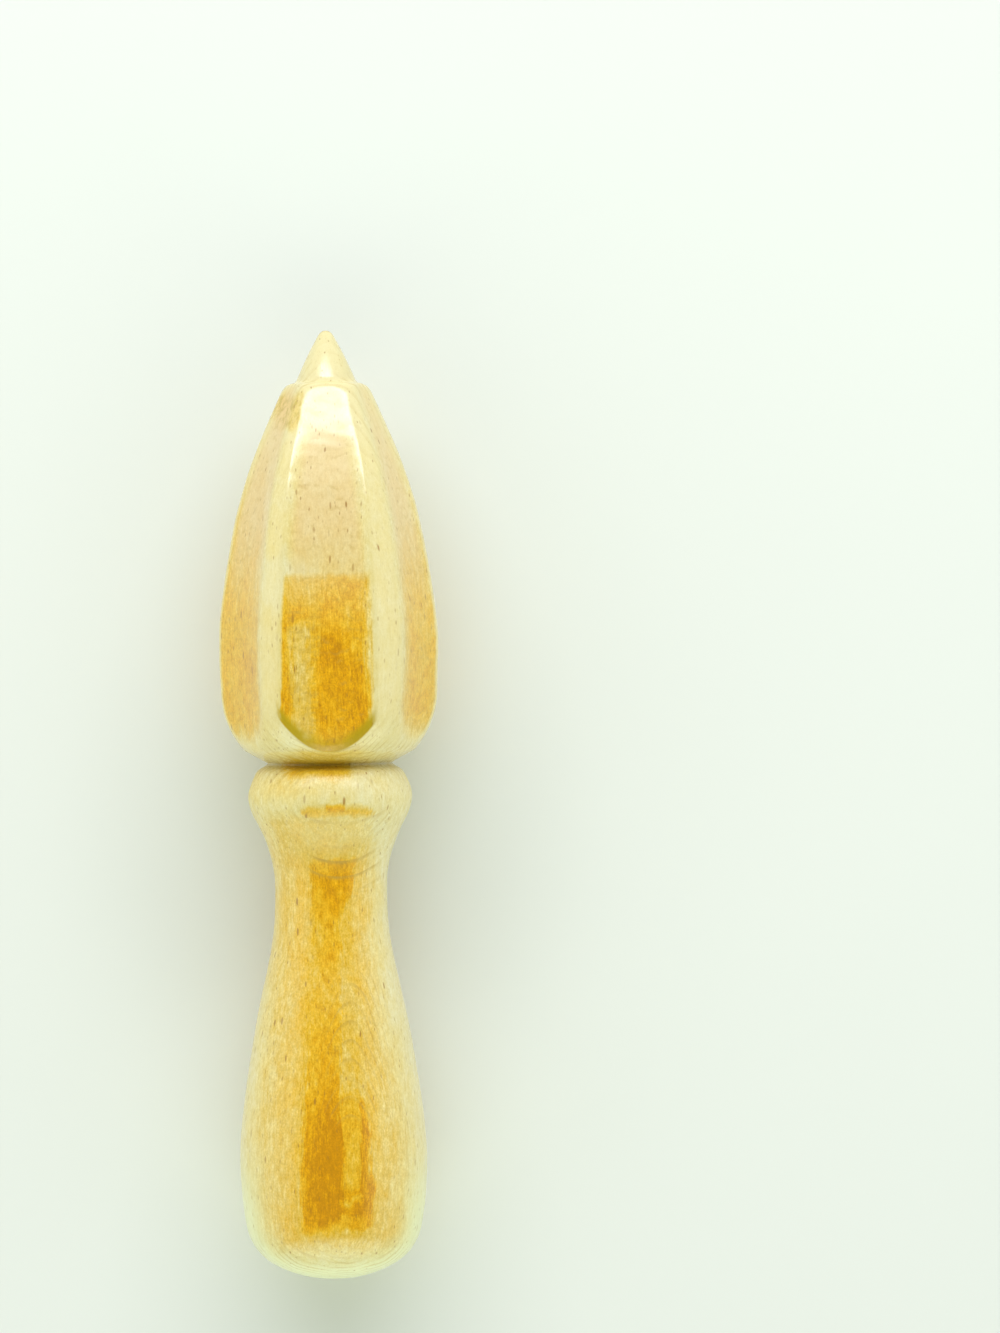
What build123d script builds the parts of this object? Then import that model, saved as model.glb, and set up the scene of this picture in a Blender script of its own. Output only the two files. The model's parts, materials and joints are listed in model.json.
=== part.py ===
from build123d import *
import math
import os

# A citrus reamer turned from one piece of wood: pointed tip, fluted head, ring, neck and handle.
# Sizes are millimetres. A diameter is across the turning axis. A length is along it, and each
# stretch is counted from the end of the one before, from the butt up to the tip.

# Handle and neck
butt_flat_diameter = 6.4
butt_dome_diameter = 21.0
butt_dome_length = 2.5
butt_corner_diameter = 29.6
butt_corner_length = 6.2
handle_diameter = 31.6
handle_swell_length = 11.2
taper_length = 45.9
neck_diameter = 18.9

# Ring at the top of the neck, and the groove that parts it from the head
cove_length = 12.2
ring_foot_diameter = 26.0
ring_foot_length = 3.0
ring_diameter = 27.7
ring_brow_length = 4.7
ring_brow_diameter = 24.6
groove_lower_length = 1.2
groove_diameter = 20.6

# Head
groove_upper_length = 2.2
head_seat_diameter = 28.8
underside_round_diameter = 36.5
underside_round_length = 9.4
head_diameter = 37.0
underside_side_length = 9.2
ogive_length = 41.7
shoulder_diameter = 15.4
shoulder_lean_angle = 24.0
shoulder_length = 1.4
shoulder_top_diameter = 13.7
ledge_length = 0.3

# Pointed tip
cone_diameter = 10.4
cone_length = 8.0
tip_cap_diameter = 2.6
tip_cap_length = 0.9

# Flutes: hollows of one round section, with a ridge of the turned surface left between each two.
# The run-out is how far in from the widest place a floor lies where it leaves past the underside
flute_count = 6
ridge_angle = 11.0
flute_section_radius = 37.0
flute_runout = 3.8
flute_overrun = 3.0

# Where each curve passes between its two ends: share of the way across, share of the way along
taper_curve_shares = [(0.204, 0.294), (0.582, 0.588), (0.928, 0.824)]
ogive_curve_shares = [(0.069, 0.194), (0.366, 0.583), (0.731, 0.844)]

# Where a flute's floor is set out along the head's side
floor_place_shares = [0.0, 0.3, 0.6, 1.0]

IN = (-1, 0)
UP = (0, 1)
DOWN = (0, -1)


def between(start, end, shares):
    """Points of the outline between two places, at the given shares of the way."""
    return [
        (
            start[0] + (end[0] - start[0]) * across_share,
            start[1] + (end[1] - start[1]) * along_share,
        )
        for across_share, along_share in shares
    ]


# Places on the outline, as (radius, height above the butt)
butt_edge = (butt_flat_diameter / 2, 0)
butt_dome = (butt_dome_diameter / 2, butt_dome_length)
butt_corner = (butt_corner_diameter / 2, butt_dome[1] + butt_corner_length)
belly = (handle_diameter / 2, butt_corner[1] + handle_swell_length)
neck = (neck_diameter / 2, belly[1] + taper_length)
cove_bend = (neck[0], neck[1] + cove_length / 2)
ring_foot = (ring_foot_diameter / 2, neck[1] + cove_length)
ring_crown = (ring_diameter / 2, ring_foot[1] + ring_foot_length)
ring_brow = (ring_brow_diameter / 2, ring_crown[1] + ring_brow_length)
groove = (groove_diameter / 2, ring_brow[1] + groove_lower_length)
head_seat = (head_seat_diameter / 2, groove[1] + groove_upper_length)
underside_round = (underside_round_diameter / 2, head_seat[1] + underside_round_length)
head_widest = (head_diameter / 2, underside_round[1] + underside_side_length)
shoulder = (shoulder_diameter / 2, head_widest[1] + ogive_length)
shoulder_top = (shoulder_top_diameter / 2, shoulder[1] + shoulder_length)
cone_foot = (cone_diameter / 2, shoulder_top[1] + ledge_length)
cap_edge = (tip_cap_diameter / 2, cone_foot[1] + cone_length)
tip = (0, cap_edge[1] + tip_cap_length)

# The head's side runs straight up at its widest place and leans in towards the shoulder
shoulder_lean = math.radians(shoulder_lean_angle)
head_side = Spline(
    head_widest,
    *between(head_widest, shoulder, ogive_curve_shares),
    shoulder,
    tangents=[UP, (-math.sin(shoulder_lean), math.cos(shoulder_lean))],
)


def arcs_down(*places):
    """Arcs from place to place that run smoothly into each other, the first one straight down."""
    arcs = []
    heading = DOWN
    for start, end in zip(places, places[1:]):
        arcs.append(TangentArc(start, end, tangent=heading))
        heading = arcs[-1] % 1
    return arcs


def turned_body():
    """The blank as it comes off the lathe, standing on its butt."""
    cone_side = Line(cone_foot, cap_edge)
    outline = [
        Line((0, 0), butt_edge),
        *arcs_down(belly, butt_corner, butt_dome, butt_edge),
        Spline(belly, *between(belly, neck, taper_curve_shares), neck, tangents=[UP, UP]),
        Bezier(neck, cove_bend, ring_foot),
        Spline(ring_foot, ring_crown, ring_brow),
        Line(ring_brow, groove),
        Line(groove, head_seat),
        *arcs_down(head_widest, underside_round, head_seat),
        head_side,
        Line(shoulder, shoulder_top),
        Line(shoulder_top, cone_foot),
        cone_side,
        Spline(cap_edge, tip, tangents=[cone_side % 1, IN]),
        Line(tip, (0, 0)),
    ]
    return revolve(Plane.XZ * Face(Wire(outline)), Axis.Z)


flute_half_angle = math.radians((360 / flute_count - ridge_angle) / 2)


def floor_beside(place):
    """Where a flute's floor lies if its two edges are on the turned surface at this place."""
    half_width = place.X * math.sin(flute_half_angle)
    edge_reach = place.X * math.cos(flute_half_angle)
    hollow = flute_section_radius - math.sqrt(flute_section_radius**2 - half_width**2)
    return (edge_reach - hollow, place.Y)


flute_foot = (head_widest[0] - flute_runout, groove[1])


def flute_floor():
    """The line that a flute's floor follows, from the groove up past the shoulder."""
    floor = [floor_beside(head_side @ share) for share in floor_place_shares]
    lean = head_side % 1
    beyond = (floor[-1][0] + lean.X * flute_overrun, floor[-1][1] + lean.Y * flute_overrun)
    return Wire(
        [
            *arcs_down(floor[0], flute_foot),
            Spline(*floor, tangents=[UP, lean]),
            Line(floor[-1], beyond),
        ]
    )


def flute_cutter():
    """The space that one flute takes: its round section carried along the floor."""
    middle = Pos(flute_foot[0] + flute_section_radius, 0, flute_foot[1])
    return sweep(middle * Circle(flute_section_radius), path=Plane.XZ * flute_floor())


def fluted_reamer():
    """The turned body with its flutes cut, one of them centred on +Y."""
    cutter = flute_cutter()
    places = PolarLocations(0, flute_count, start_angle=90)
    return turned_body() - [place * cutter for place in places]


def laid_down(standing):
    """Lays the reamer along +Y on two ridges of its head and on its handle, centred on the origin."""
    ridge_reach = head_widest[0] * math.cos(flute_half_angle)
    rest_tilt = math.atan2(ridge_reach - belly[0], head_widest[1] - belly[1])
    sine, cosine = math.sin(rest_tilt), math.cos(rest_tilt)
    middle = (tip[1] * cosine - butt_edge[0] * sine) / 2
    rise = belly[0] * cosine - belly[1] * sine
    return Pos(0, -middle, rise) * Rot(X=math.degrees(rest_tilt) - 90) * standing


reamer = laid_down(fluted_reamer())

os.makedirs("parts", exist_ok=True)
export_step(reamer, "parts/citrus_reamer.step")
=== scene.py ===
from functools import cached_property
import json
import math

import bpy
import numpy as np
from mathutils import Matrix, Vector


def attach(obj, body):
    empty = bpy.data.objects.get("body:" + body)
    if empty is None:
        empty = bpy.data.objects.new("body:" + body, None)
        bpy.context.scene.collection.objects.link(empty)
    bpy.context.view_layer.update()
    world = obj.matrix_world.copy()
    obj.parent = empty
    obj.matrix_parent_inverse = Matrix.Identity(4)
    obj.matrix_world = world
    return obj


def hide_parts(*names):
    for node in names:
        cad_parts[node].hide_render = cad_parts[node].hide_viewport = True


# A citrus reamer of pale turned beech, lying on two ridges of its fluted head and on its handle.
# Shape sizes are millimetres, as (radius, height above the butt) along the turning axis.
# Everything that goes to Blender is in metres.

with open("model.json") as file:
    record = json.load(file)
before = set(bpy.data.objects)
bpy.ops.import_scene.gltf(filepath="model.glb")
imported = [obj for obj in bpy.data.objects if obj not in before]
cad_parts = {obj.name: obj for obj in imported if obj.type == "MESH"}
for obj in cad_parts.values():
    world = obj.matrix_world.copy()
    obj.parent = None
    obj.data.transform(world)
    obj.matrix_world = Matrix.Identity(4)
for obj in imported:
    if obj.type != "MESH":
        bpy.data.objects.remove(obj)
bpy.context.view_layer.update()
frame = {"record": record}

MM = 0.001

# The turning axis runs from the middle of the butt, straight into the part
mount = next(m for m in frame["record"]["mounts"] if m["name"] == "butt_face")
BUTT = Vector(mount["pos_m"])
ALONG = -Vector(mount["axis"])
ACROSS = Vector((1, 0, 0))
UPWARD = ACROSS.cross(ALONG)

# The photograph: its size, its scale at the turning axis, and where the part's origin is in it
picture_size = (1000, 1333)
mm_per_pixel = 0.16895
origin_pixel = (330.2, 804.0)
picture_turn = math.radians(0.55)
lens = 150.0
sensor = 36.0
axis_height = 17.0
camera_distance = picture_size[1] * mm_per_pixel * lens / sensor

# Outline
butt_edge = (3.2, 0.0)
butt_dome = (10.5, 2.5)
butt_corner = (14.8, 8.7)
belly = (15.8, 19.9)
neck = (9.45, 65.8)
cove_bend = (9.45, 71.9)
ring_foot = (13.0, 78.0)
ring_crown = (13.85, 81.0)
ring_brow = (12.3, 85.7)
groove = (10.3, 86.9)
head_seat = (14.4, 89.1)
underside_round = (18.25, 98.5)
head_widest = (18.5, 107.7)
shoulder = (7.7, 149.4)
shoulder_corner = (6.95, 151.1)
cone_foot = (5.2, 151.1)
cone_middle = (3.42, 155.1)
cap_edge = (1.3, 159.1)
cap_bend = (0.85, 160.0)
tip = (0.0, 160.0)
taper_curve_shares = [(0.204, 0.294), (0.582, 0.588), (0.928, 0.824)]
ogive_curve_shares = [(0.069, 0.194), (0.366, 0.583), (0.731, 0.844)]
shoulder_lean_angle = 24.0

# Sanding rounds every corner of the turning by about this much
outline_softness = 0.28
edge_softness = 0.50

# Each flute's middle and half width, in degrees round the axis. The first one faces up
flute_angles = [
    (88.8, 25.1),
    (150.4, 24.2),
    (210.2, 24.5),
    (270.0, 24.6),
    (329.8, 24.4),
    (26.1, 20.6),
]
flute_section_radius = 37.0
flute_foot_radius = 14.7
flute_overrun = 6.0

# What is left of the lathe's and the cutter's tremble: how high, how long and how many lobes round
slow_ripples = {"seed": 3, "size": 0.022, "length": 9.0, "lobes": 5}
quick_ripples = {"seed": 5, "size": 0.010, "length": 3.0, "lobes": 14}
ripple_fade_radius = 8.0

# How finely the surface is divided, and the outline before it
column_count = 264
ring_spacing = 0.53
outline_spacing = 0.05


def unit(vector):
    return np.asarray(vector, float) / np.linalg.norm(vector)


def between(start, end, shares):
    """Points between two places, at the given shares of the way across and along."""
    start, end = np.array(start), np.array(end)
    return [tuple(start + (end - start) * share) for share in shares]


def arc(start, heading, end, count=60):
    """Points of the arc that leaves start along heading and reaches end, and its last heading."""
    start, end, heading = np.array(start), np.array(end), unit(heading)
    side = np.array([-heading[1], heading[0]])
    chord = end - start
    curvature = 2 * (chord @ side) / (chord @ chord)
    turn = 2 * math.atan2(chord @ side, chord @ heading)
    angles = turn * np.linspace(0, 1, count)
    points = (
        start
        + np.outer(np.sin(angles) / curvature, heading)
        + np.outer((1 - np.cos(angles)) / curvature, side)
    )
    return points, heading * math.cos(turn) + side * math.sin(turn)


def arcs_up(*places):
    """Arcs from the first place to the last that join smoothly and end straight up."""
    heading = (0, -1)
    stretches = []
    for start, end in zip(places[::-1], places[-2::-1]):
        points, heading = arc(start, heading, end)
        stretches.append(points)
    return np.vstack(stretches)[::-1]


def bend(start, corner, end, count=60):
    """Points of the curve that leaves start towards corner and comes to end from it."""
    start, corner, end = np.array(start), np.array(corner), np.array(end)
    way = np.linspace(0, 1, count)[:, None]
    return start * (1 - way) ** 2 + 2 * corner * way * (1 - way) + end * way**2


def smooth_line(places, first=None, last=None, count=80):
    """Points of the smooth curve through the places, with its end headings where they are given."""
    places = np.array(places, float)
    knots = np.r_[0, np.cumsum(np.linalg.norm(np.diff(places, axis=0), axis=1))]
    steps = np.diff(knots)
    size = len(places)
    matrix = np.zeros((size, size))
    right = np.zeros((size, 2))
    for i in range(1, size - 1):
        matrix[i, i - 1 : i + 2] = steps[i], 2 * (steps[i - 1] + steps[i]), steps[i - 1]
        right[i] = 3 * (
            steps[i] * (places[i] - places[i - 1]) / steps[i - 1]
            + steps[i - 1] * (places[i + 1] - places[i]) / steps[i]
        )
    for row, near, heading in ((0, 1, first), (size - 1, size - 2, last)):
        if heading is None:
            step = abs(knots[near] - knots[row])
            matrix[row, row], matrix[row, near] = 2, 1
            right[row] = 3 * (places[near] - places[row]) / step * (1 if row == 0 else -1)
        else:
            matrix[row, row] = 1
            right[row] = unit(heading)
    slopes = np.linalg.solve(matrix, right)
    stretches = []
    for i in range(size - 1):
        t = np.linspace(0, 1, count)[:, None]
        stretches.append(
            places[i] * (1 + 2 * t) * (1 - t) ** 2
            + slopes[i] * steps[i] * t * (1 - t) ** 2
            + places[i + 1] * t**2 * (3 - 2 * t)
            + slopes[i + 1] * steps[i] * t**2 * (t - 1)
        )
    return np.vstack(stretches)


shoulder_lean = math.radians(shoulder_lean_angle)
lean = (-math.sin(shoulder_lean), math.cos(shoulder_lean))
UP = (0, 1)


def outline():
    """The turned outline from the middle of the butt to the tip, before sanding."""
    return np.vstack(
        [
            [(0, 0), butt_edge],
            arcs_up(butt_edge, butt_dome, butt_corner, belly),
            smooth_line([belly, *between(belly, neck, taper_curve_shares), neck], UP, UP),
            bend(neck, cove_bend, ring_foot),
            smooth_line([ring_foot, ring_crown, ring_brow]),
            [groove],
            arcs_up(head_seat, underside_round, head_widest),
            smooth_line(
                [head_widest, *between(head_widest, shoulder, ogive_curve_shares), shoulder],
                UP,
                lean,
            ),
            bend(shoulder, shoulder_corner, cone_foot),
            smooth_line([cone_foot, cone_middle, cap_edge]),
            bend(cap_edge, cap_bend, tip),
        ]
    )


def evenly(points, spacing):
    """The same line with points at even spacing along it."""
    gaps = np.linalg.norm(np.diff(points, axis=0), axis=1)
    points = points[np.r_[True, gaps > 1e-9]]
    length = np.r_[0, np.cumsum(np.linalg.norm(np.diff(points, axis=0), axis=1))]
    places = np.linspace(0, length[-1], max(2, round(length[-1] / spacing) + 1))
    return np.column_stack([np.interp(places, length, points[:, i]) for i in (0, 1)])


def sanded(points, spacing, softness):
    """Rounds the corners of an even line by averaging each point with its neighbours."""
    reach = math.ceil(3 * softness / spacing)
    weights = np.exp(-0.5 * (np.arange(-reach, reach + 1) * spacing / softness) ** 2)
    weights /= weights.sum()
    # Past the two ends, the line goes on as its own mirror image across the axis
    mirror = np.array([-1, 1])
    padded = np.vstack([points[reach:0:-1] * mirror, points, points[-2 : -reach - 2 : -1] * mirror])
    return np.column_stack([np.convolve(padded[:, i], weights, "valid") for i in (0, 1)])


def turned_rings():
    """Places of the rings along the sanded outline, from the butt's middle to the tip."""
    line = sanded(evenly(outline(), outline_spacing), outline_spacing, outline_softness)
    return evenly(line, ring_spacing)


def flute_floor(half_angle):
    """Where a flute's floor lies, as (radius, height), from the groove up past the shoulder."""
    side = smooth_line(
        [head_widest, *between(head_widest, shoulder, ogive_curve_shares), shoulder], UP, lean
    )
    half_width = side[:, 0] * math.sin(half_angle)
    hollow = flute_section_radius - np.sqrt(flute_section_radius**2 - half_width**2)
    floor = np.column_stack([side[:, 0] * math.cos(half_angle) - hollow, side[:, 1]])
    foot, _ = arc(floor[0], (0, -1), (flute_foot_radius, groove[1]))
    beyond = floor[-1] + np.array(lean) * flute_overrun
    return np.vstack([foot[::-1], floor, [beyond]])


def soft_least(a, b, softness):
    """The lesser of two fields, with the edge where they meet rounded off."""
    share = np.clip(0.5 + 0.5 * (b - a) / softness, 0, 1)
    return b + (a - b) * share - softness * share * (1 - share)


def ripples(heights, angles, seed, size, length, lobes, count=7):
    """Gentle unevenness over the surface."""
    random = np.random.default_rng(seed)
    total = np.zeros((len(heights), len(angles)))
    for _ in range(count):
        turns = random.integers(-lobes, lobes + 1)
        waves = 2 * math.pi * heights / (length * random.uniform(0.6, 1.8))
        total += np.sin(waves[:, None] + turns * angles[None, :] + random.uniform(0, 2 * math.pi))
    return total * size / math.sqrt(count)


def carved_radii(rings, angles):
    """The radius of every point of the surface: turned, fluted, sanded and a little uneven. Also
    how deep under the turned surface the flutes have taken it."""
    heights = rings[:, 1]
    radii = np.repeat(rings[:, :1], len(angles), axis=1)
    for middle, half_width in np.radians(flute_angles):
        floor = flute_floor(half_width)
        depth = np.interp(heights, floor[:, 1], floor[:, 0])
        away = (angles - middle + math.pi) % (2 * math.pi) - math.pi
        centre = (depth + flute_section_radius)[:, None]
        under_root = flute_section_radius**2 - (centre * np.sin(away)) ** 2
        cut = (under_root > 0) & (np.abs(away) < math.pi / 3) & (heights >= floor[0, 1])[:, None]
        hollow = centre * np.cos(away) - np.sqrt(np.maximum(under_root, 0))
        radii[cut] = soft_least(radii[cut], hollow[cut], edge_softness)
    hollow = rings[:, :1] - radii
    fade = np.clip(rings[:, :1] / ripple_fade_radius, 0, 1)
    radii += fade * ripples(heights, angles, **slow_ripples)
    radii += fade * ripples(heights, angles, **quick_ripples)
    return np.maximum(radii, 0), hollow


def make_reamer():
    """The reamer as one closed mesh of rings round the turning axis."""
    rings = turned_rings()
    angles = np.linspace(0, 2 * math.pi, column_count, endpoint=False) - math.pi / 2
    inner = rings[1:-1]
    radii, hollow = carved_radii(inner, angles)
    axis_points = np.array(BUTT) + inner[:, 1:] * MM * np.array(ALONG)
    spokes = np.cos(angles)[:, None] * np.array(ACROSS) + np.sin(angles)[:, None] * np.array(UPWARD)
    places = axis_points[:, None, :] + radii[:, :, None] * MM * spokes[None, :, :]
    first = np.array(BUTT)
    last = first + rings[-1, 1] * MM * np.array(ALONG)
    vertices = np.vstack([places.reshape(-1, 3), first, last])

    def at(ring, column):
        return ring * column_count + column % column_count

    faces = []
    last_ring = len(inner) - 1
    for column in range(column_count):
        faces.append((len(vertices) - 2, at(0, column + 1), at(0, column)))
        faces.append((len(vertices) - 1, at(last_ring, column), at(last_ring, column + 1)))
        for ring in range(last_ring):
            faces.append(
                (at(ring, column), at(ring, column + 1), at(ring + 1, column + 1), at(ring + 1, column))
            )
    mesh = bpy.data.meshes.new("reamer")
    mesh.from_pydata(vertices.tolist(), [], faces)
    mesh.update()
    mesh.shade_smooth()
    depths = mesh.attributes.new("hollow", "FLOAT", "POINT")
    depths.data.foreach_set("value", np.r_[hollow.ravel(), 0, 0])
    reamer = bpy.data.objects.new("reamer", mesh)
    bpy.context.scene.collection.objects.link(reamer)
    return reamer


def add_wrap_map(mesh):
    """A map that unrolls the surface: once round from side to side, butt to tip from foot to top."""
    layer = mesh.uv_layers.new(name="OFBake")
    ring_total = (len(mesh.vertices) - 2) // column_count
    corners = np.zeros(len(mesh.loops), int)
    mesh.loops.foreach_get("vertex_index", corners)
    column = corners % column_count
    height = (corners // column_count + 1) / (ring_total + 1)
    height[corners == len(mesh.vertices) - 2] = 0
    height[corners == len(mesh.vertices) - 1] = 1
    places = np.column_stack([column / column_count, height])
    for face in mesh.polygons:
        own = slice(face.loop_start, face.loop_start + face.loop_total)
        on_axis = corners[own] >= len(mesh.vertices) - 2
        around = places[own, 0]
        if around[~on_axis].max() - around[~on_axis].min() > 0.5:
            around[around < 0.5] += 1
        around[on_axis] = around[~on_axis].mean()
    layer.uv.foreach_set("vector", places.ravel())


def seen_at(pixel, height=33.0):
    """Where a pixel of the photograph falls on a level at this height, in the part's millimetres."""
    middle = np.array([picture_size[0] / 2, picture_size[1] / 2])
    nearer = 1 - (height - axis_height) / camera_distance
    from_middle = (np.array(pixel) - middle) * mm_per_pixel * nearer
    middle_from_origin = (middle - np.array(origin_pixel)) * mm_per_pixel
    right, down = from_middle + middle_from_origin
    turn = Matrix.Rotation(-picture_turn, 2)
    return tuple(turn @ Vector((right, -down)))


def level(pixel_row):
    """How far along the part a row of the photograph lies, in millimetres."""
    return seen_at((origin_pixel[0], pixel_row))[1]


def levels(pixel_rows):
    return [level(row) for row in pixel_rows]


def columns(pixel_columns):
    """How far across the part these columns of the photograph lie, in millimetres."""
    return [seen_at((column, origin_pixel[1]))[0] for column in pixel_columns]


class Graph:
    """Adds nodes to a tree and joins them. A value may be a socket, a number or a colour."""

    def __init__(self, tree):
        tree.nodes.clear()
        self.tree = tree

    def add(self, kind, inputs=(), output=0, **settings):
        node = self.tree.nodes.new(kind)
        for name, value in settings.items():
            setattr(node, name, value)
        for key, value in dict(inputs).items():
            if isinstance(value, bpy.types.NodeSocket):
                self.tree.links.new(value, node.inputs[key])
            else:
                node.inputs[key].default_value = value
        return node.outputs[output] if node.outputs else node

    def sum(self, operation, *values):
        return self.add("ShaderNodeMath", enumerate(values), operation=operation)

    def vector(self, operation, *values, output=0):
        return self.add("ShaderNodeVectorMath", enumerate(values), output, operation=operation)

    def ramp(self, value, low, high, least=0.0, most=1.0):
        """A smooth step from least, where value is low, to most, where it is high."""
        inputs = {0: value, 1: low, 2: high, 3: least, 4: most}
        return self.add("ShaderNodeMapRange", inputs, interpolation_type="SMOOTHSTEP")

    def fall(self, value, low, high):
        """A smooth step from 1, where value is low, to 0, where it is high."""
        return self.ramp(value, low, high, 1, 0)

    def mix(self, share, first, second):
        """The colour share of the way from first to second."""
        inputs = {0: share, 6: first, 7: second}
        return self.add("ShaderNodeMix", inputs, 2, data_type="RGBA")

    def noise(self, place, size, detail=2.0, roughness=0.5, output="Fac"):
        """Noise about 0.5 whose lumps are about this size, in millimetres, along each axis."""
        scaled = self.vector("DIVIDE", place, size)
        inputs = {"Vector": scaled, "Scale": 1.0, "Detail": detail, "Roughness": roughness}
        return self.add("ShaderNodeTexNoise", inputs, output)

    def bump(self, relief, strength, distance):
        """The normal of a surface whose relief stands up by this distance, in millimetres."""
        inputs = {"Strength": strength, "Distance": distance * MM, "Height": relief}
        return self.add("ShaderNodeBump", inputs)

    def split(self, vector):
        return self.add("ShaderNodeSeparateXYZ", {0: vector}).node.outputs

    def scaled(self, vector, factor):
        return self.add("ShaderNodeVectorMath", {0: vector, "Scale": factor}, operation="SCALE")

    def product(self, first, *others):
        for other in others:
            first = self.sum("MULTIPLY", first, other)
        return first

    def most(self, first, *others):
        for other in others:
            first = self.sum("MAXIMUM", first, other)
        return first

    def without(self, share):
        """What a share leaves of one."""
        return self.sum("SUBTRACT", 1, share)

    def mixed(self, share, first, second):
        """The number share of the way from first to second."""
        return self.add("ShaderNodeMapRange", {0: share, 3: first, 4: second})

    def around(self, value, noise, amount):
        """The value moved up or down by the noise, by as much as half the amount."""
        return self.sum("MULTIPLY_ADD", self.sum("SUBTRACT", noise, 0.5), amount, value)

    def zone(self, place, corner, opposite, softness):
        """How far inside a soft-edged rectangle of the photograph a place lies, from 0 to 1."""
        left, top = seen_at(corner)
        right, bottom = seen_at(opposite)
        return self.product(
            self.ramp(place[0], left - softness, left + softness),
            self.ramp(place[0], right - softness, right + softness, 1, 0),
            self.ramp(place[1], bottom - softness, bottom + softness),
            self.ramp(place[1], top - softness, top + softness, 1, 0),
        )

    def bowed(self, place, middle, rise):
        """How far a place lies above a bowed line of the photograph, which passes through the
        middle and rises by rise times the square of the way across."""
        left, top = seen_at(middle)
        across = self.sum("SUBTRACT", place[0], left)
        line = self.sum("MULTIPLY_ADD", self.product(across, across), rise, top)
        return self.sum("SUBTRACT", place[1], line)


# How the wood's colour runs from pale sapwood to deep golden heartwood, in linear light
TONES = [
    (0.0, (0.68, 0.62, 0.37)),
    (0.2, (0.69, 0.56, 0.22)),
    (0.4, (0.67, 0.46, 0.09)),
    (0.6, (0.70, 0.41, 0.02)),
    (0.8, (0.67, 0.33, 0.001)),
    (1.0, (0.55, 0.24, 0.0)),
]
sapwood_richness = 0.085
heartwood_richness = 0.8

# Tints that lie over it, among them painted shade and a painted reflection
LATE_WOOD = (0.44, 0.28, 0.05, 1)
# Rim: painted shade along the front flute's runout and in the groove, and the dark rough fibres by the
# shoulder
RIM = (0.38, 0.265, 0.006, 1)
# Olive: painted shade in the cove and under the head, and a tint over the side flutes
OLIVE = (0.50, 0.44, 0.14, 1)
# Painted reflection: pale green, as if the butt's edges mirrored green surroundings
REFLECTED_GREEN = (0.72, 0.80, 0.50, 1)
PEACH = (0.68, 0.50, 0.30, 1)
FLECK = (0.30, 0.14, 0.02, 1)

# Size of each noise's lumps across, along and through the part
waver_size = (7, 30, 7)
speckle_size = (0.26, 0.36, 0.26)
mottle_size = (0.75, 1.5, 0.75)
fibre_size = (0.30, 4.0, 0.30)
thread_size = (0.16, 2.2, 0.16)
cloud_size = (3, 7, 3)
streak_size = (0.45, 7, 0.45)
side_edge_size = (1.5, 6, 1.5)
end_edge_size = (2.5, 4.5, 2.5)
wavy_edge_size = (1.5, 1.5, 1.5)
late_wood_patch_size = (4, 9, 4)
ripple_patch_size = (1.6, 3, 1.6)
cross_mark_size = (2.0, 0.7, 2.0)

# How far the grain bends, and how far the edges of an area wander
waver_reach = 3
side_edge_reach = 1.4
streak_reach = 2.6
end_edge_reach = 4.5
wavy_edge_reach = 1.6

# How strongly the noises vary the colour's richness and its shade
RICHNESS_NOISES = {"clouds": 0.60, "mottle": 0.50, "fibres": 0.40, "speckle": 0.15}
SHADE_NOISES = {"speckle": 0.55, "mottle": 0.46, "fibres": 0.42}
sapwood_strength = 0.42
ridge_smoothness = 0.45
# How much the grain fades at the top of the head: painted highlight, washing the grain out as the
# window's glare does
highlight_smoothness = 0.55

# Growth layers: arcs round a pith that lies well under the reamer as it is held for the photograph
pith = (-22.0, -150.0)
layer_thickness = 1.15

# Ripples that the cutter leaves in a flute
ripple_length = 1.7
ripple_waver = 14.0

# Ray flecks: size of the cells that hold one each, where a fleck's edge begins and ends as a
# share of its cell, the share of the cells that have one, and how dark it is
LARGE_FLECKS = ((1.3, 5.0, 1.3), 0.08, 0.20, 0.55, 1.0)
SMALL_FLECKS = ((0.7, 2.4, 0.7), 0.08, 0.24, 0.70, 0.8)

# The rim where the front flute runs out: the middle of its bow, and how the bow rises
rim_middle = (329, 752)
rim_rise = 0.082

# The gold of the front flute, and the corners of it that lie on hardly hollowed wood
flute_gold_left = (274, 284)
flute_gold_right = (362, 382)
flute_gold_top = (583, 566)
flute_gold_fade = (660, 582)
flute_gold_corners = ((278, 690), (372, 790))

# The golden stripe down the handle, the lobe beside its foot, and the paler halo round them. Where
# an edge shifts, it does so between these distances below the stripe's top
stripe_top_row = 860
stripe_left = (306, 295.5)
stripe_left_shift = (18, 50)
stripe_right = (354, 341)
stripe_right_shift = (4, 10)
stripe_top = (866, 850)
stripe_foot = (1256, 1214)
halo_right = (350, 371)
halo_right_shift = (20, 55)
halo_width = (6.0, 9.0)
halo_width_shift = (10, 40)
halo_top = (828, 806)
halo_foot = (1276, 1232)
lobe_left = (351, 359)
lobe_right = (373, 363)
lobe_right_rows = (1200, 1095)
lobe_top = (1108, 1086)
lobe_foot = (1236, 1216)

# Three kinds of edge that an area may have
EVEN, WAVY, RAGGED = "even", "wavy", "ragged"

# Areas where the heartwood shows at least this strongly: their edges, two opposite corners, how
# soft the edges are, and how strong it is
GOLD_AREAS = {
    "band on the ring": (WAVY, (299, 808), (372, 819), 0.9, 0.64),
    "spot on the band": (WAVY, (326, 805), (344, 814), 0.7, 0.92),
    "brow of the ring": (WAVY, (284, 760), (350, 777), 1.4, 0.78),
    "groove": (EVEN, (296, 752), (362, 770), 3.0, 0.50),
    "cove": (EVEN, (300, 818), (352, 870), 4.0, 0.60),
    "right of the stripe": (RAGGED, (336, 964), (366, 1100), 2.2, 0.47),
    "between stripe and lobe": (RAGGED, (336, 1085), (368, 1235), 1.4, 0.66),
    "foot of stripe and lobe": (RAGGED, (330, 1200), (377, 1232), 1.3, 0.86),
}

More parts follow.
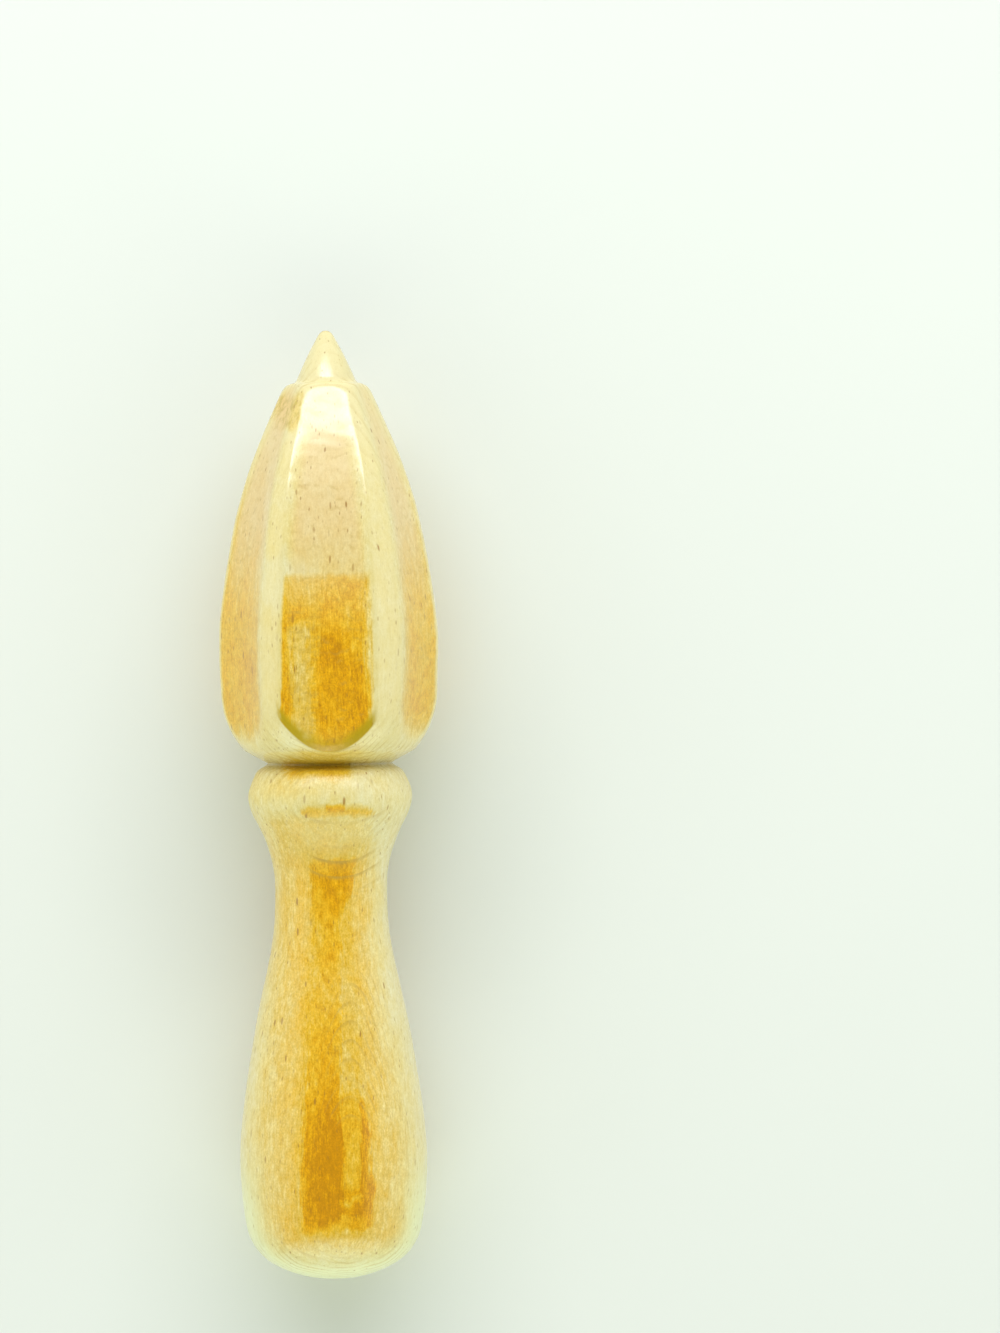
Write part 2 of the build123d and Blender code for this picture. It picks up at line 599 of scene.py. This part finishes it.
# Areas where it is weaker or stronger than that, all with ragged edges
CHANGES = {
    "pale patch in the front flute": ((288, 624), (314, 744), 1.7, -0.52),
    "left of the front flute's top": ((262, 560), (314, 606), 2.2, -0.20),
    "right of the front flute's top": ((350, 596), (372, 660), 2.6, -0.10),
    "middle of the front flute": ((320, 630), (346, 730), 3.0, 0.05),
    "top of the stripe": ((312, 880), (338, 925), 1.6, 0.12),
    "under the handle's bows": ((338, 990), (352, 1060), 1.4, -0.10),
    "foot of the stripe": ((312, 1115), (336, 1225), 3.0, 0.10),
    "upper bar beside the foot": ((338, 1192), (364, 1199), 0.6, 0.25),
    "lower bar beside the foot": ((340, 1207), (364, 1215), 0.6, 0.25),
    "ring's upper left": ((235, 772), (345, 800), 2.6, 0.14),
    "whole left side": ((215, 380), (290, 1240), 3.5, 0.05),
    "whole head": ((190, 440), (470, 756), 3.0, 0.06),
    "right of ring and cove": ((366, 775), (410, 870), 3.0, -0.12),
}

# A stain by the shoulder, on the front only, and the rough wood in it
shoulder_stain = ((272, 390), (298, 426))
shoulder_rough = ((272, 392), (296, 424))
front_heights = (12.0, 17.0)

# Painted shade in olive, in the cove and under the head, and painted shade in the groove at the ring's
# brow; and the pale patch in the front flute
cove_shade = ((292, 812), (366, 862))
underside_shade = ((270, 744), (385, 764))
groove_shade = ((286, 760), (352, 773))
pale_patch = ((286, 606), (318, 744))

# Nested bows of late wood: the middle of one of them, how it rises, how far apart they are, two
# opposite corners of where they show, and how dark they are
BOWS = {
    "handle": ((349, 984), -0.36, 3.1, (326, 982), (386, 1120), 0.45),
    "neck": ((338, 862), 0.055, 2.6, (308, 852), (374, 884), 0.80),
    "ring": ((338, 822), 0.030, 3.0, (292, 812), (386, 828), 0.50),
    "head": ((330, 750), 0.060, 0.95, (262, 738), (402, 764), 0.55),
}

# Rows of the photograph between which the gloss fades, down from the head and up from the handle
head_gloss_rows = (785, 745)
handle_gloss_rows = (830, 800)


class Wood:
    """The fields that the wood's figure is made from, from 0 to 1 unless they are places."""

    def __init__(self, graph):
        self.graph = graph
        self.place = graph.scaled(graph.add("ShaderNodeTexCoord", output="Object"), 1 / MM)
        self.normal = graph.add("ShaderNodeTexCoord", output="Normal")
        self.hollow = graph.add("ShaderNodeAttribute", output="Fac", attribute_name="hollow")
        self.x, self.y, self.z = graph.split(self.place)
        self.off_middle = graph.sum("ABSOLUTE", self.x)
        self.front = graph.ramp(self.z, *front_heights)

        # The grain runs along the reamer, a little bent
        waver = graph.noise(self.place, waver_size, output="Color")
        shift = graph.scaled(graph.vector("SUBTRACT", waver, (0.5, 0.5, 0.5)), waver_reach)
        self.bent = graph.vector("ADD", self.place, shift)
        self.bent_x, _, self.bent_z = graph.split(self.bent)
        self.speckle = graph.noise(self.place, speckle_size, 1.0)
        self.mottle = graph.noise(self.bent, mottle_size, 3.0, 0.6)
        self.fibres = graph.noise(self.bent, fibre_size, 3.0, 0.6)
        self.clouds = graph.noise(self.place, cloud_size, 3.0, 0.6)

        # Places with uneven edges, for what begins and ends along the grain
        streaks = graph.noise(self.bent, streak_size, 2.0, 0.6)
        side = graph.around(self.bent_x, graph.noise(self.place, side_edge_size), side_edge_reach)
        side = graph.around(side, streaks, streak_reach)
        end = graph.noise(self.place, end_edge_size, 1.0)
        wavy_end = graph.noise(self.place, wavy_edge_size)
        self.edges = {
            EVEN: (self.x, self.y),
            WAVY: (side, graph.around(self.y, wavy_end, wavy_edge_reach)),
            RAGGED: (side, graph.around(self.y, end, end_edge_reach)),
        }
        self.above_rim = graph.bowed(self.edges[EVEN], rim_middle, rim_rise)
        self.dark_flecks = graph.most(self.flecks(*LARGE_FLECKS), self.flecks(*SMALL_FLECKS))

    def area(self, edges, corner, opposite, softness):
        """How far inside an area of the photograph a place lies."""
        return self.graph.zone(self.edges[edges], corner, opposite, softness)

    def late_wood(self):
        """Growth layers, which show as fine lines where the surface cuts across the grain."""
        graph = self.graph
        from_pith = {
            0: graph.sum("SUBTRACT", self.bent_x, pith[0]),
            2: graph.sum("SUBTRACT", self.bent_z, pith[1]),
        }
        depth = graph.vector("LENGTH", graph.add("ShaderNodeCombineXYZ", from_pith), output="Value")
        layer = graph.sum("FRACT", graph.sum("DIVIDE", depth, layer_thickness))
        across_grain = graph.sum(
            "ABSOLUTE", graph.vector("DOT_PRODUCT", self.normal, ALONG, output="Value")
        )
        return graph.product(
            graph.ramp(layer, 0.45, 0.88),
            graph.fall(layer, 0.92, 1.0),
            graph.ramp(across_grain, 0.12, 0.75, 0.04, 1),
            graph.ramp(graph.noise(self.place, late_wood_patch_size), 0.35, 0.62, 0.1, 1),
        )

    def bows(self, middle, rise, spacing, corner, opposite):
        """Nested bows, which the layers make where the turned surface crosses them at a slant."""
        graph = self.graph
        above = graph.bowed((self.bent_x, self.y), middle, rise)
        layer = graph.sum("FRACT", graph.sum("DIVIDE", above, spacing))
        return graph.product(
            graph.ramp(layer, 0.66, 0.92),
            graph.fall(layer, 0.94, 1.0),
            self.area(RAGGED, corner, opposite, 2.0),
            graph.ramp(self.clouds, 0.35, 0.6, 0.3, 1),
            graph.fall(self.above_rim, -0.3, 0.1),
        )

    def cutter_ripples(self):
        """Faint ripples that the cutter has left across the flutes."""
        graph = self.graph
        turns = graph.product(self.y, 2 * math.pi / ripple_length)
        phase = graph.around(turns, self.clouds, ripple_waver)
        return graph.product(
            graph.ramp(graph.sum("SINE", phase), 0.2, 1.0),
            graph.ramp(graph.noise(self.place, ripple_patch_size), 0.50, 0.66),
            graph.ramp(self.hollow, 0.3, 0.9),
        )

    def cross_marks(self):
        """Short marks across the pale patch in the left of the front flute."""
        graph = self.graph
        return graph.product(
            graph.ramp(graph.noise(self.place, cross_mark_size, 1.0), 0.48, 0.64),
            self.area(RAGGED, *pale_patch, 1.6),
            graph.ramp(self.hollow, 0.2, 0.6),
        )

    def flecks(self, size, least, most, share, darkness):
        """Ray flecks: short dark spindles along the grain."""
        graph = self.graph
        cells = {"Vector": graph.vector("DIVIDE", self.bent, size), "Scale": 1.0}
        near = graph.add("ShaderNodeTexVoronoi", cells)
        chance = graph.split(near.node.outputs["Color"])[0]
        return graph.product(
            graph.fall(near, least, most), graph.ramp(chance, 1 - share, 1.0), darkness
        )

    @cached_property
    def side_flutes(self):
        """Heartwood in the flutes beside the front one, deepest in their lower parts."""
        graph = self.graph
        ragged_y = self.edges[RAGGED][1]
        low = graph.fall(ragged_y, *levels((640, 500)))
        far_side = graph.product(
            graph.ramp(self.off_middle, 12.5, 15.5),
            graph.ramp(self.hollow, 0.05, 0.5),
            graph.ramp(ragged_y, *levels((756, 712))),
        )
        return graph.product(
            graph.most(graph.ramp(self.hollow, 0.0, 1.9), far_side),
            graph.ramp(self.off_middle, 8.0, 11.0),
            graph.mixed(low, 0.26, 0.62),
        )

    def front_flute(self):
        """Heartwood in the lower part of the front flute, down to its rim."""
        graph = self.graph
        side, end = self.edges[RAGGED]
        over_rim = graph.ramp(self.above_rim, -0.3, 0.1)
        corners = graph.product(self.area(WAVY, *flute_gold_corners, 0.7), over_rim)
        return graph.product(
            graph.ramp(side, *columns(flute_gold_left)),
            graph.fall(side, *columns(flute_gold_right)),
            graph.fall(self.edges[WAVY][1], *levels(flute_gold_top)),
            graph.most(corners, graph.ramp(self.hollow, 0.02, 0.35)),
            over_rim,
            graph.ramp(end, *levels(flute_gold_fade), 0.88, 0.60),
        )

    @cached_property
    def rim_shade(self):
        """Painted shade: a dark olive line along the crease where the front flute runs out, broadest at
        its sides.
        """
        graph = self.graph
        return graph.product(
            graph.ramp(self.above_rim, -0.4, 0.2),
            graph.fall(self.above_rim, 1.0, 3.0),
            graph.ramp(self.off_middle, 0.5, 5.0, 0.6, 1),
            graph.fall(self.off_middle, 7.4, 8.8),
            graph.ramp(self.clouds, 0.3, 0.5, 0.6, 1),
        )

    def handle_gold(self):
        """Heartwood in the handle: the stripe, the lobe beside its foot, and the halo."""
        graph = self.graph
        side, end = self.edges[RAGGED]
        wavy_end = self.edges[WAVY][1]
        down = graph.sum("SUBTRACT", level(stripe_top_row), self.y)

        def past(edge_columns, shift):
            """How far right of an edge of the stripe or halo a place lies."""
            edge = graph.ramp(down, *shift, *columns(edge_columns))
            return graph.sum("SUBTRACT", side, edge)

        before_left = graph.product(past(stripe_left, stripe_left_shift), -1)
        stripe = graph.product(
            graph.fall(before_left, -0.8, 0.8),
            graph.ramp(before_left, -5.0, 0.0, 1, 0.80),
            graph.fall(past(stripe_right, stripe_right_shift), -0.8, 0.8),
            graph.fall(wavy_end, *levels(stripe_top)),
            graph.ramp(end, *levels(stripe_foot)),
            graph.sum(
                "ADD",
                graph.ramp(self.y, *levels((935, 885)), 0, 0.20),
                graph.ramp(self.y, *levels((1165, 1000)), 1.14, 0.70),
            ),
        )
        right_share = graph.sum(
            "DIVIDE",
            past(halo_right, halo_right_shift),
            graph.ramp(down, *halo_width_shift, *halo_width),
        )
        halo = graph.product(
            graph.sum(
                "MINIMUM",
                graph.ramp(before_left, -1.0, 11.0, 0.54, 0),
                graph.ramp(right_share, 0, 1, 0.50, 0),
            ),
            graph.fall(self.y, *levels(halo_top)),
            graph.ramp(self.y, *levels(halo_foot)),
        )
        lobe_edge = graph.ramp(self.y, *levels(lobe_right_rows), *columns(lobe_right))
        lobe = graph.product(
            graph.ramp(side, *columns(lobe_left)),
            graph.fall(graph.sum("SUBTRACT", side, lobe_edge), -0.7, 0.7),
            graph.fall(wavy_end, *levels(lobe_top)),
            graph.ramp(wavy_end, *levels(lobe_foot)),
            0.96,
        )
        return graph.most(stripe, halo, lobe)

    def heart(self):
        """Heartwood, from 0 where there is none to 1 where it is deepest."""
        graph = self.graph
        cream = graph.product(
            graph.ramp(self.hollow, 0.1, 1.0), graph.fall(self.off_middle, 8.0, 11.0), 0.16
        )
        areas = [
            graph.product(self.area(*area), strength) for *area, strength in GOLD_AREAS.values()
        ]
        heart = graph.most(self.front_flute(), self.side_flutes, cream, self.handle_gold(), *areas)
        for *area, change in CHANGES.values():
            heart = graph.sum("MULTIPLY_ADD", self.area(RAGGED, *area), change, heart)
        stain = graph.product(self.area(RAGGED, *shoulder_stain, 1.3), self.front)
        return graph.sum("MAXIMUM", graph.sum("MULTIPLY_ADD", stain, 0.30, heart), 0)

    def plain_colour(self, heart):
        """The wood's colour by how deep its heartwood is, with the noises but without the tints.
        Towards the top of the head the noises fade, a painted highlight.
        """
        graph = self.graph
        # Painted highlight: the grain fades towards the top of the head, as under the window's glare
        highlight_fade = graph.ramp(self.y, *levels((500, 420)), 0, highlight_smoothness)
        ridges = graph.product(
            graph.ramp(self.hollow, 0.0, 0.3, ridge_smoothness, 0),
            graph.ramp(self.y, *levels((764, 738))),
        )
        strength = graph.product(
            graph.ramp(heart, 0, 0.6, sapwood_strength, 1),
            graph.without(highlight_fade),
            graph.without(ridges),
        )
        richness = graph.sum("MULTIPLY_ADD", heart, heartwood_richness, sapwood_richness)
        for noise, amount in RICHNESS_NOISES.items():
            amount = graph.product(strength, amount)
            richness = graph.around(richness, getattr(self, noise), amount)
        shade = 1.0
        for noise, amount in SHADE_NOISES.items():
            amount = graph.product(strength, -amount)
            shade = graph.around(shade, getattr(self, noise), amount)
        colour = graph.add("ShaderNodeValToRGB", {0: richness})
        stops = colour.node.color_ramp.elements
        for number, (position, tone) in enumerate(TONES):
            stop = stops[number] if number < 2 else stops.new(position)
            stop.position = position
            stop.color = tone + (1,)
        return graph.scaled(colour, shade)

    def colour(self):
        """The wood's colour with all its tints, among them painted shade and a painted reflection."""
        graph = self.graph
        facing = graph.sum("ABSOLUTE", graph.split(self.normal)[2])
        # Painted reflection: the butt's sideways-facing edges tinted pale green, as if mirroring green
        # surroundings
        green_reflection = graph.product(
            graph.fall(facing, 0.30, 0.85), graph.fall(self.y, *levels((1235, 1140)))
        )
        peach = graph.product(
            graph.ramp(self.hollow, 0.1, 1.2), graph.ramp(self.y, *levels((640, 500)))
        )
        rough = graph.product(
            self.area(RAGGED, *shoulder_rough, 1.2),
            graph.ramp(self.mottle, 0.42, 0.62),
            self.front,
        )
        threads = graph.noise(self.bent, thread_size, 3.0, 0.6)
        colour = self.plain_colour(self.heart())
        for share, amount, tint in (
            # Painted reflection at the butt's edges
            (green_reflection, 0.60, REFLECTED_GREEN),
            # Painted shade: olive in the cove and under the head
            (self.area(EVEN, *cove_shade, 4.0), 0.34, OLIVE),
            (self.area(EVEN, *underside_shade, 3.5), 0.26, OLIVE),
            (self.side_flutes, 0.22, OLIVE),
            (peach, 0.50, PEACH),
            (self.late_wood(), 0.42, LATE_WOOD),
            *((self.bows(*shape), amount, LATE_WOOD) for *shape, amount in BOWS.values()),
            (self.cutter_ripples(), 0.26, LATE_WOOD),
            (self.cross_marks(), 0.28, LATE_WOOD),
            (rough, 0.50, RIM),
            # Painted shade along the crease where the front flute runs out
            (self.rim_shade, 0.90, RIM),
            # Painted shade in the groove at the ring's brow
            (self.area(WAVY, *groove_shade, 1.2), 0.55, RIM),
            (graph.ramp(threads, 0.57, 0.78), 0.28, FLECK),
            (self.dark_flecks, 0.78, FLECK),
        ):
            colour = graph.mix(graph.product(share, amount), colour, tint)
        return colour

    def gloss(self):
        """How much of an oiled gloss the wood has: most on the head, least on the ring."""
        graph = self.graph
        gloss = graph.most(
            graph.ramp(self.y, *levels(head_gloss_rows), 0.25, 1.0),
            graph.ramp(self.y, *levels(handle_gloss_rows), 0.8, 0.25),
        )
        # No gloss on the painted shade where the front flute runs out
        return graph.product(gloss, graph.without(self.rim_shade))

    def relief(self):
        """How the fibres, the pores and the flecks stand up or sink in."""
        graph = self.graph
        raised = graph.sum("ADD", graph.product(self.fibres, 0.6), graph.product(self.speckle, 0.4))
        return graph.sum("SUBTRACT", raised, graph.product(self.dark_flecks, 0.5))


def beech():
    """Turned, sanded and oiled beech: growth layers, fibres, ray flecks and golden heartwood."""
    material = bpy.data.materials.new("beech")
    material.use_nodes = True
    graph = Graph(material.node_tree)
    wood = Wood(graph)
    relief = wood.relief()
    shader = graph.add(
        "ShaderNodeBsdfPrincipled",
        {
            "Base Color": wood.colour(),
            "Roughness": graph.ramp(wood.mottle, 0.3, 0.7, 0.48, 0.58),
            "Normal": graph.bump(relief, 0.35, 0.06),
            "IOR": 1.5,
            "Specular IOR Level": 0.12,
            "Coat Weight": wood.gloss(),
            "Coat Roughness": 0.16,
            "Coat IOR": 1.6,
            "Coat Normal": graph.bump(relief, 0.15, 0.05),
        },
    )
    graph.add("ShaderNodeOutputMaterial", {"Surface": shader})
    return material


reamer = make_reamer()
add_wrap_map(reamer.data)
reamer.data.materials.append(beech())
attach(reamer, "root")
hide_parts("citrus_reamer")


# Floor, lights and camera
floor_size = 6.0
floor_colour = (0.739, 0.759, 0.730, 1)
floor_darker_share = 0.97

# The window past the tip and a dimmer strip over it: how far each leans down from overhead, how
# high it is, and how bright
far_window = (48.8, 0.17, 8.6)
far_window_fringe = (42.2, 0.06, 3.2)
window_width = 1.5
window_distance = 1.0
window_colour = (0.92, 0.96, 1.0)

# The tent: how bright it gets as a direction points further across or along the part, as
# (from there, to there, least, most), and its colour overhead and at its near end
tent_sides = (0.55, 0.85, 0.09, 1.20)
tent_far_end = (0.26, 0.5, 0, 0.70)
tent_far_wall = (0.46, 0.68, 0, 0.8)
tent_near_end = (-0.42, -0.8, 0, 2.6)
tent_near_tone = (-0.3, -0.8, 0, 1)
tent_colour = (0.97, 1.0, 0.92, 1)
tent_near_colour = (0.90, 1.0, 0.84, 1)


def make_floor():
    half = floor_size / 2
    mesh = bpy.data.meshes.new("floor")
    corners = [(-half, -half, 0), (half, -half, 0), (half, half, 0), (-half, half, 0)]
    mesh.from_pydata(corners, [], [(0, 1, 2, 3)])
    floor = bpy.data.objects.new("floor", mesh)
    bpy.context.scene.collection.objects.link(floor)
    material = bpy.data.materials.new("floor")
    material.use_nodes = True
    graph = Graph(material.node_tree)
    place = graph.add("ShaderNodeTexCoord", output="Object")
    tone = graph.add("ShaderNodeTexNoise", {"Vector": place, "Scale": 9.0, "Detail": 3.0})
    darker = tuple(floor_darker_share * value for value in floor_colour[:3]) + (1,)
    colour = graph.mix(tone, darker, floor_colour)
    shader = graph.add("ShaderNodeBsdfPrincipled", {"Base Color": colour, "Roughness": 0.8})
    graph.add("ShaderNodeOutputMaterial", {"Surface": shader})
    mesh.materials.append(material)


def soft_box(name, lean_angle, height, brightness):
    """A wide rectangular light past the tip, which faces the origin."""
    light = bpy.data.lights.new(name, "AREA")
    light.shape = "RECTANGLE"
    light.size, light.size_y = window_width, height
    light.energy = brightness * window_width * height * math.pi
    light.color = window_colour
    box = bpy.data.objects.new(name, light)
    lean = math.radians(lean_angle)
    toward = Vector((0, math.sin(lean), math.cos(lean)))
    box.location = toward * window_distance
    box.rotation_euler = toward.to_track_quat("Z", "Y").to_euler()
    box.visible_camera = False
    bpy.context.scene.collection.objects.link(box)


def light_studio():
    """A pale tent that is brighter towards its sides than overhead, and a window at its far end."""
    soft_box("far_light", *far_window)
    soft_box("far_light_fringe", *far_window_fringe)
    world = bpy.data.worlds.new("studio")
    bpy.context.scene.world = world
    world.use_nodes = True
    graph = Graph(world.node_tree)
    across, along, _ = graph.split(graph.add("ShaderNodeTexCoord", output="Generated"))
    sides = graph.ramp(graph.sum("ABSOLUTE", across), *tent_sides)
    brightness = graph.most(sides, graph.ramp(along, *tent_far_end))
    brightness = graph.sum("ADD", brightness, graph.ramp(along, *tent_far_wall))
    brightness = graph.most(brightness, graph.ramp(along, *tent_near_end))
    colour = graph.mix(graph.ramp(along, *tent_near_tone), tent_colour, tent_near_colour)
    background = graph.add("ShaderNodeBackground", {"Color": colour, "Strength": brightness})
    graph.add("ShaderNodeOutputWorld", {"Surface": background})


def aim_camera():
    """The photograph's camera: straight above, over the middle of the picture."""
    data = bpy.data.cameras.new("camera")
    data.lens = lens
    data.sensor_width = sensor
    data.clip_start = 0.01
    data.dof.use_dof = False
    camera = bpy.data.objects.new("camera", data)
    x, y = seen_at((picture_size[0] / 2, picture_size[1] / 2), axis_height)
    camera.location = (x * MM, y * MM, (camera_distance + axis_height) * MM)
    camera.rotation_euler = (0, 0, -picture_turn)
    bpy.context.scene.collection.objects.link(camera)
    bpy.context.scene.camera = camera


make_floor()
light_studio()
aim_camera()
bpy.context.scene.view_settings.view_transform = "Standard"
